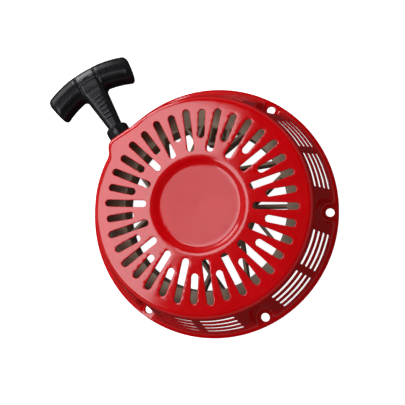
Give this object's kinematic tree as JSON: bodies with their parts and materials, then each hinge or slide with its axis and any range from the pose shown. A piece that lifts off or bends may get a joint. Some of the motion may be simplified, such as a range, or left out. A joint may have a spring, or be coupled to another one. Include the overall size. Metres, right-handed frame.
{
  "type": "recoil starter",
  "caption": "Pull-rope recoil starter: round vented red steel housing with louvred side and bolting flange, black T grip, rope reel and pawl clutch inside.",
  "frame": {"origin": "centre of the bolt circle on the flange's mounting plane", "axes": "+Z along the crankshaft axis, out through the vented face; +X through one bolt hole; the rope leaves 122.5 degrees about Z from +X"},
  "size_m": [0.2568, 0.2448, 0.044],
  "materials": {
    "housing_paint": "gloss red enamel on pressed steel",
    "zinc_steel": "zinc plated",
    "spring_steel": "oiled spring steel",
    "pawl_steel": "hardened and phosphated",
    "bush_bronze": "sintered bronze",
    "reel_nylon": "moulded glass-filled nylon, brown-grey",
    "rope": "braided polyester starter rope",
    "black_plastic": "moulded, fine grain",
    "grip_saddle": "moulded, satin smooth"
  },
  "bodies": {
    "root": {"housing": "housing_paint", "spindle_plate": "zinc_steel", "spindle": "zinc_steel", "center_screw": "zinc_steel", "thrust_washer": "zinc_steel", "rope_guide": "black_plastic", "guide_clip": "spring_steel", "rope_feed": "rope"},
    "reel_body": {"reel_rim": "reel_nylon", "reel_hub": "reel_nylon", "reel_ribs": "reel_nylon", "reel_bush": "bush_bronze", "mainspring": "spring_steel", "rope_wound": "rope", "rope_anchor_knot": "rope", "pawl_pins": "zinc_steel", "pawl_spring_a": "spring_steel", "pawl_spring_b": "spring_steel"},
    "pawl_a_body": {"pawl_a": "pawl_steel"},
    "pawl_b_body": {"pawl_b": "pawl_steel"},
    "ratchet_body": {"ratchet_guide": "pawl_steel", "friction_spring": "spring_steel"},
    "grip_body": {"grip": "black_plastic", "grip_cap": "grip_saddle", "grip_washer": "zinc_steel", "grip_knot": "rope", "rope_lead": "rope"}
  },
  "joints": [
    {"name": "reel_spin", "type": "hinge", "parent": "root", "child": "reel_body", "pos_m": [0, 0, 0.02], "axis": [0, 0, 1], "range_deg": [-790, 0], "stiffness_Nm_per_rad": 0.05, "springref_deg": 343.77},
    {"name": "grip_pull", "type": "slide", "parent": "root", "child": "grip_body", "axis": [-0.5373, 0.8434, 0], "range_m": [0, 1.003]},
    {"name": "ratchet_turn", "type": "hinge", "parent": "reel_body", "child": "ratchet_body", "pos_m": [0, 0, 0.005], "axis": [0, 0, 1], "range_deg": [0, 30], "stiffness_Nm_per_rad": 0.02, "springref_deg": -5.73},
    {"name": "pawl_a_swing", "type": "hinge", "parent": "reel_body", "child": "pawl_a_body", "pos_m": [0.01838, 0.01838, 0.0085], "axis": [0, 0, 1], "range_deg": [0, 25.1]},
    {"name": "pawl_b_swing", "type": "hinge", "parent": "reel_body", "child": "pawl_b_body", "pos_m": [-0.01838, -0.01838, 0.0085], "axis": [0, 0, 1], "range_deg": [0, 25.1]}
  ],
  "couplings": [
    {"joint": "grip_pull", "follows": "reel_spin", "m_per_rad": -0.0727},
    {"joint": "pawl_a_swing", "follows": "ratchet_turn", "ratio": 0.8333},
    {"joint": "pawl_b_swing", "follows": "ratchet_turn", "ratio": 0.8333}
  ]
}
